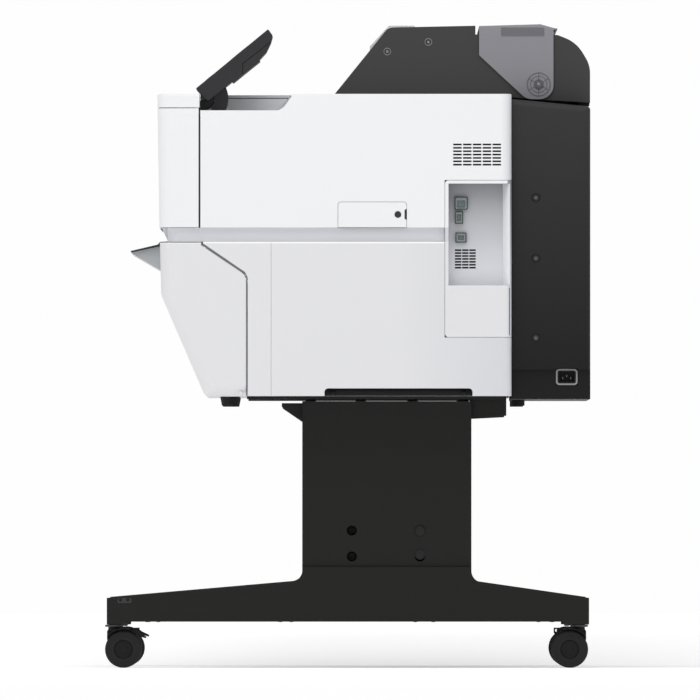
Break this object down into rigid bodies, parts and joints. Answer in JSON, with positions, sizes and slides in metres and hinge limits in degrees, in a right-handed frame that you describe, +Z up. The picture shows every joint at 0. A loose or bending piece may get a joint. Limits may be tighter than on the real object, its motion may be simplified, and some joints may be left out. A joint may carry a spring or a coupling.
{
  "type": "large format plotter",
  "caption": "Free-standing large format inkjet plotter: white two-tier body, black rear roll unit with smoked lid, tilting control panel, T-leg stand on braked casters.",
  "frame": {"origin": "on the floor, centre of the overall box", "axes": "+Z up, +Y to the machine's back, +X to the right of someone facing its front (the side with the ports and the control panel)"},
  "size_m": [1.05, 0.8305, 1.1018],
  "materials": {
    "white_cover": "fine matt-textured white moulded plastic",
    "grey_band": "light grey moulded plastic",
    "black_cover": "fine textured black moulded plastic",
    "smoked_clear": "smoked transparent plastic",
    "clear_strip": "clear film strip",
    "black_steel": "black powder coat",
    "bare_steel": "zinc plated sheet steel",
    "panel_grey": "dark grey moulded plastic",
    "guide_grey": "grey moulded plastic",
    "port_grey": "light grey recess",
    "key_black": "satin keys",
    "caster_plastic": "black nylon",
    "wheel_rubber": "black rubber tread",
    "foot_rubber": "rubber",
    "roller_steel": "ground steel",
    "screw_steel": "black zinc",
    "cartridge_plastic": "black moulded cartridge",
    "board": "green circuit board and grey case"
  },
  "bodies": {
    "root": {"chassis": "bare_steel", "side_cover_right": "white_cover", "side_cover_left": "white_cover", "lower_cover_right": "white_cover", "lower_cover_left": "white_cover", "top_cover": "white_cover", "neck_band": "grey_band", "lower_front_panel": "white_cover", "rear_cover": "black_cover", "port_panel": "port_grey", "access_cover": "white_cover", "power_inlet": "guide_grey", "roll_cheek_right": "black_cover", "roll_cheek_left": "black_cover", "roll_housing": "black_cover", "feed_strip": "clear_strip", "platen": "panel_grey", "eject_guide": "guide_grey", "ink_bays": "panel_grey", "stand_column_right": "black_steel", "stand_column_left": "black_steel", "stand_foot_right": "black_steel", "stand_foot_left": "black_steel", "stand_crossbeam": "black_steel", "printer_feet": "foot_rubber", "screws": "screw_steel", "electronics": "board", "capping_station": "key_black", "carriage_drive": "bare_steel", "panel_hinge": "key_black"},
    "front_cover": {"front_cover": "white_cover", "front_window": "smoked_clear"},
    "corner_cover_right": {"corner_cover_right": "white_cover"},
    "corner_cover_left": {"corner_cover_left": "white_cover"},
    "ink_cover_right": {"ink_cover_right": "white_cover"},
    "ink_cover_left": {"ink_cover_left": "white_cover"},
    "control_panel": {"control_panel": "panel_grey"},
    "power_key": {"power_key": "key_black"},
    "arrow_pad": {"arrow_pad": "key_black"},
    "ok_key": {"ok_key": "key_black"},
    "roll_lid": {"roll_lid": "smoked_clear"},
    "roll_adapter_right": {"roll_adapter_right": "key_black"},
    "roll_adapter_left": {"roll_adapter_left": "key_black"},
    "feed_roller": {"feed_roller": "roller_steel"},
    "pinch_rollers": {"pinch_rollers": "foot_rubber"},
    "carriage": {"carriage": "panel_grey"},
    "drive_pulley": {"drive_pulley": "roller_steel"},
    "idler_pulley": {"idler_pulley": "roller_steel"},
    "cartridges_right": {"cartridges_right": "cartridge_plastic"},
    "cartridges_left": {"cartridges_left": "cartridge_plastic"},
    "caster_fork_front_right": {"caster_fork_front_right": "caster_plastic"},
    "caster_wheel_front_right": {"caster_wheel_front_right": "wheel_rubber"},
    "caster_fork_rear_right": {"caster_fork_rear_right": "caster_plastic"},
    "caster_wheel_rear_right": {"caster_wheel_rear_right": "wheel_rubber"},
    "brake_lever_right": {"brake_lever_right": "caster_plastic"},
    "caster_fork_front_left": {"caster_fork_front_left": "caster_plastic"},
    "caster_wheel_front_left": {"caster_wheel_front_left": "wheel_rubber"},
    "caster_fork_rear_left": {"caster_fork_rear_left": "caster_plastic"},
    "caster_wheel_rear_left": {"caster_wheel_rear_left": "wheel_rubber"},
    "brake_lever_left": {"brake_lever_left": "caster_plastic"}
  },
  "joints": [
    {"name": "front_cover_hinge", "type": "hinge", "parent": "root", "child": "front_cover", "pos_m": [0, -0.258, 0.9755], "axis": [-1, 0, 0], "range_deg": [0, 80]},
    {"name": "corner_cover_hinge_right", "type": "hinge", "parent": "root", "child": "corner_cover_right", "pos_m": [0.52, -0.2582, 0.85], "axis": [0, 0, 1], "range_deg": [0, 85]},
    {"name": "corner_cover_hinge_left", "type": "hinge", "parent": "root", "child": "corner_cover_left", "pos_m": [-0.52, -0.2582, 0.85], "axis": [0, 0, -1], "range_deg": [0, 85]},
    {"name": "ink_cover_hinge_right", "type": "hinge", "parent": "root", "child": "ink_cover_right", "pos_m": [0.405, -0.182, 0.47], "axis": [1, 0, 0], "range_deg": [0, 40]},
    {"name": "ink_cover_hinge_left", "type": "hinge", "parent": "root", "child": "ink_cover_left", "pos_m": [-0.405, -0.182, 0.47], "axis": [1, 0, 0], "range_deg": [0, 40]},
    {"name": "panel_tilt", "type": "hinge", "parent": "root", "child": "control_panel", "pos_m": [0.435, -0.248, 0.9747], "axis": [1, 0, 0], "range_deg": [-36, 0]},
    {"name": "power_key_press", "type": "slide", "parent": "control_panel", "child": "power_key", "axis": [0, 0.6347, -0.7727], "range_m": [0, 0.001], "stiffness_N_per_m": 200, "springref_m": -0.0005},
    {"name": "arrow_pad_press", "type": "slide", "parent": "control_panel", "child": "arrow_pad", "axis": [0, 0.6347, -0.7727], "range_m": [0, 0.001], "stiffness_N_per_m": 200, "springref_m": -0.0005},
    {"name": "ok_key_press", "type": "slide", "parent": "control_panel", "child": "ok_key", "axis": [0, 0.6347, -0.7727], "range_m": [0, 0.001], "stiffness_N_per_m": 200, "springref_m": -0.0005},
    {"name": "roll_lid_hinge", "type": "hinge", "parent": "root", "child": "roll_lid", "pos_m": [0, 0.3273, 0.9988], "axis": [-1, 0, 0], "range_deg": [0, 90]},
    {"name": "roll_spin_right", "type": "hinge", "parent": "root", "child": "roll_adapter_right", "pos_m": [0.38, 0.3273, 0.9988], "axis": [1, 0, 0], "continuous": true},
    {"name": "roll_spin_left", "type": "hinge", "parent": "root", "child": "roll_adapter_left", "pos_m": [-0.38, 0.3273, 0.9988], "axis": [1, 0, 0], "continuous": true},
    {"name": "feed_spin", "type": "hinge", "parent": "root", "child": "feed_roller", "pos_m": [0, 0.02, 0.747], "axis": [1, 0, 0], "continuous": true},
    {"name": "pinch_spin", "type": "hinge", "parent": "root", "child": "pinch_rollers", "pos_m": [0, 0.02, 0.7674], "axis": [1, 0, 0], "continuous": true},
    {"name": "carriage_slide", "type": "slide", "parent": "root", "child": "carriage", "axis": [-1, 0, 0], "range_m": [0, 0.72]},
    {"name": "drive_pulley_spin", "type": "hinge", "parent": "root", "child": "drive_pulley", "pos_m": [-0.44, -0.002, 0.893], "axis": [0, 0, -1], "range_deg": [0, 3900]},
    {"name": "idler_pulley_spin", "type": "hinge", "parent": "root", "child": "idler_pulley", "pos_m": [0.44, -0.002, 0.893], "axis": [0, 0, -1], "range_deg": [0, 3900]},
    {"name": "cartridge_release_right", "type": "slide", "parent": "root", "child": "cartridges_right", "axis": [0, -1, 0], "range_m": [0, 0.008]},
    {"name": "cartridge_release_left", "type": "slide", "parent": "root", "child": "cartridges_left", "axis": [0, -1, 0], "range_m": [0, 0.008]},
    {"name": "swivel_front_right", "type": "hinge", "parent": "root", "child": "caster_fork_front_right", "pos_m": [0.405, -0.3998, 0.07], "axis": [0, 0, 1], "continuous": true},
    {"name": "wheel_front_right", "type": "hinge", "parent": "caster_fork_front_right", "child": "caster_wheel_front_right", "pos_m": [0.405, -0.3837, 0.0315], "axis": [1, 0, 0], "continuous": true},
    {"name": "swivel_rear_right", "type": "hinge", "parent": "root", "child": "caster_fork_rear_right", "pos_m": [0.405, 0.3967, 0.07], "axis": [0, 0, 1], "continuous": true},
    {"name": "wheel_rear_right", "type": "hinge", "parent": "caster_fork_rear_right", "child": "caster_wheel_rear_right", "pos_m": [0.405, 0.3806, 0.0315], "axis": [1, 0, 0], "continuous": true},
    {"name": "brake_right", "type": "hinge", "parent": "caster_fork_front_right", "child": "brake_lever_right", "pos_m": [0.405, -0.3662, 0.0615], "axis": [1, 0, 0], "range_deg": [0, 14]},
    {"name": "swivel_front_left", "type": "hinge", "parent": "root", "child": "caster_fork_front_left", "pos_m": [-0.405, -0.3998, 0.07], "axis": [0, 0, 1], "continuous": true},
    {"name": "wheel_front_left", "type": "hinge", "parent": "caster_fork_front_left", "child": "caster_wheel_front_left", "pos_m": [-0.405, -0.3837, 0.0315], "axis": [1, 0, 0], "continuous": true},
    {"name": "swivel_rear_left", "type": "hinge", "parent": "root", "child": "caster_fork_rear_left", "pos_m": [-0.405, 0.3967, 0.07], "axis": [0, 0, 1], "continuous": true},
    {"name": "wheel_rear_left", "type": "hinge", "parent": "caster_fork_rear_left", "child": "caster_wheel_rear_left", "pos_m": [-0.405, 0.3806, 0.0315], "axis": [1, 0, 0], "continuous": true},
    {"name": "brake_left", "type": "hinge", "parent": "caster_fork_front_left", "child": "brake_lever_left", "pos_m": [-0.405, -0.3662, 0.0615], "axis": [1, 0, 0], "range_deg": [0, 14]}
  ],
  "couplings": [
    {"joint": "pinch_spin", "follows": "feed_spin", "ratio": -1.5},
    {"joint": "drive_pulley_spin", "follows": "carriage_slide", "rad_per_m": 93},
    {"joint": "idler_pulley_spin", "follows": "carriage_slide", "rad_per_m": 93}
  ]
}
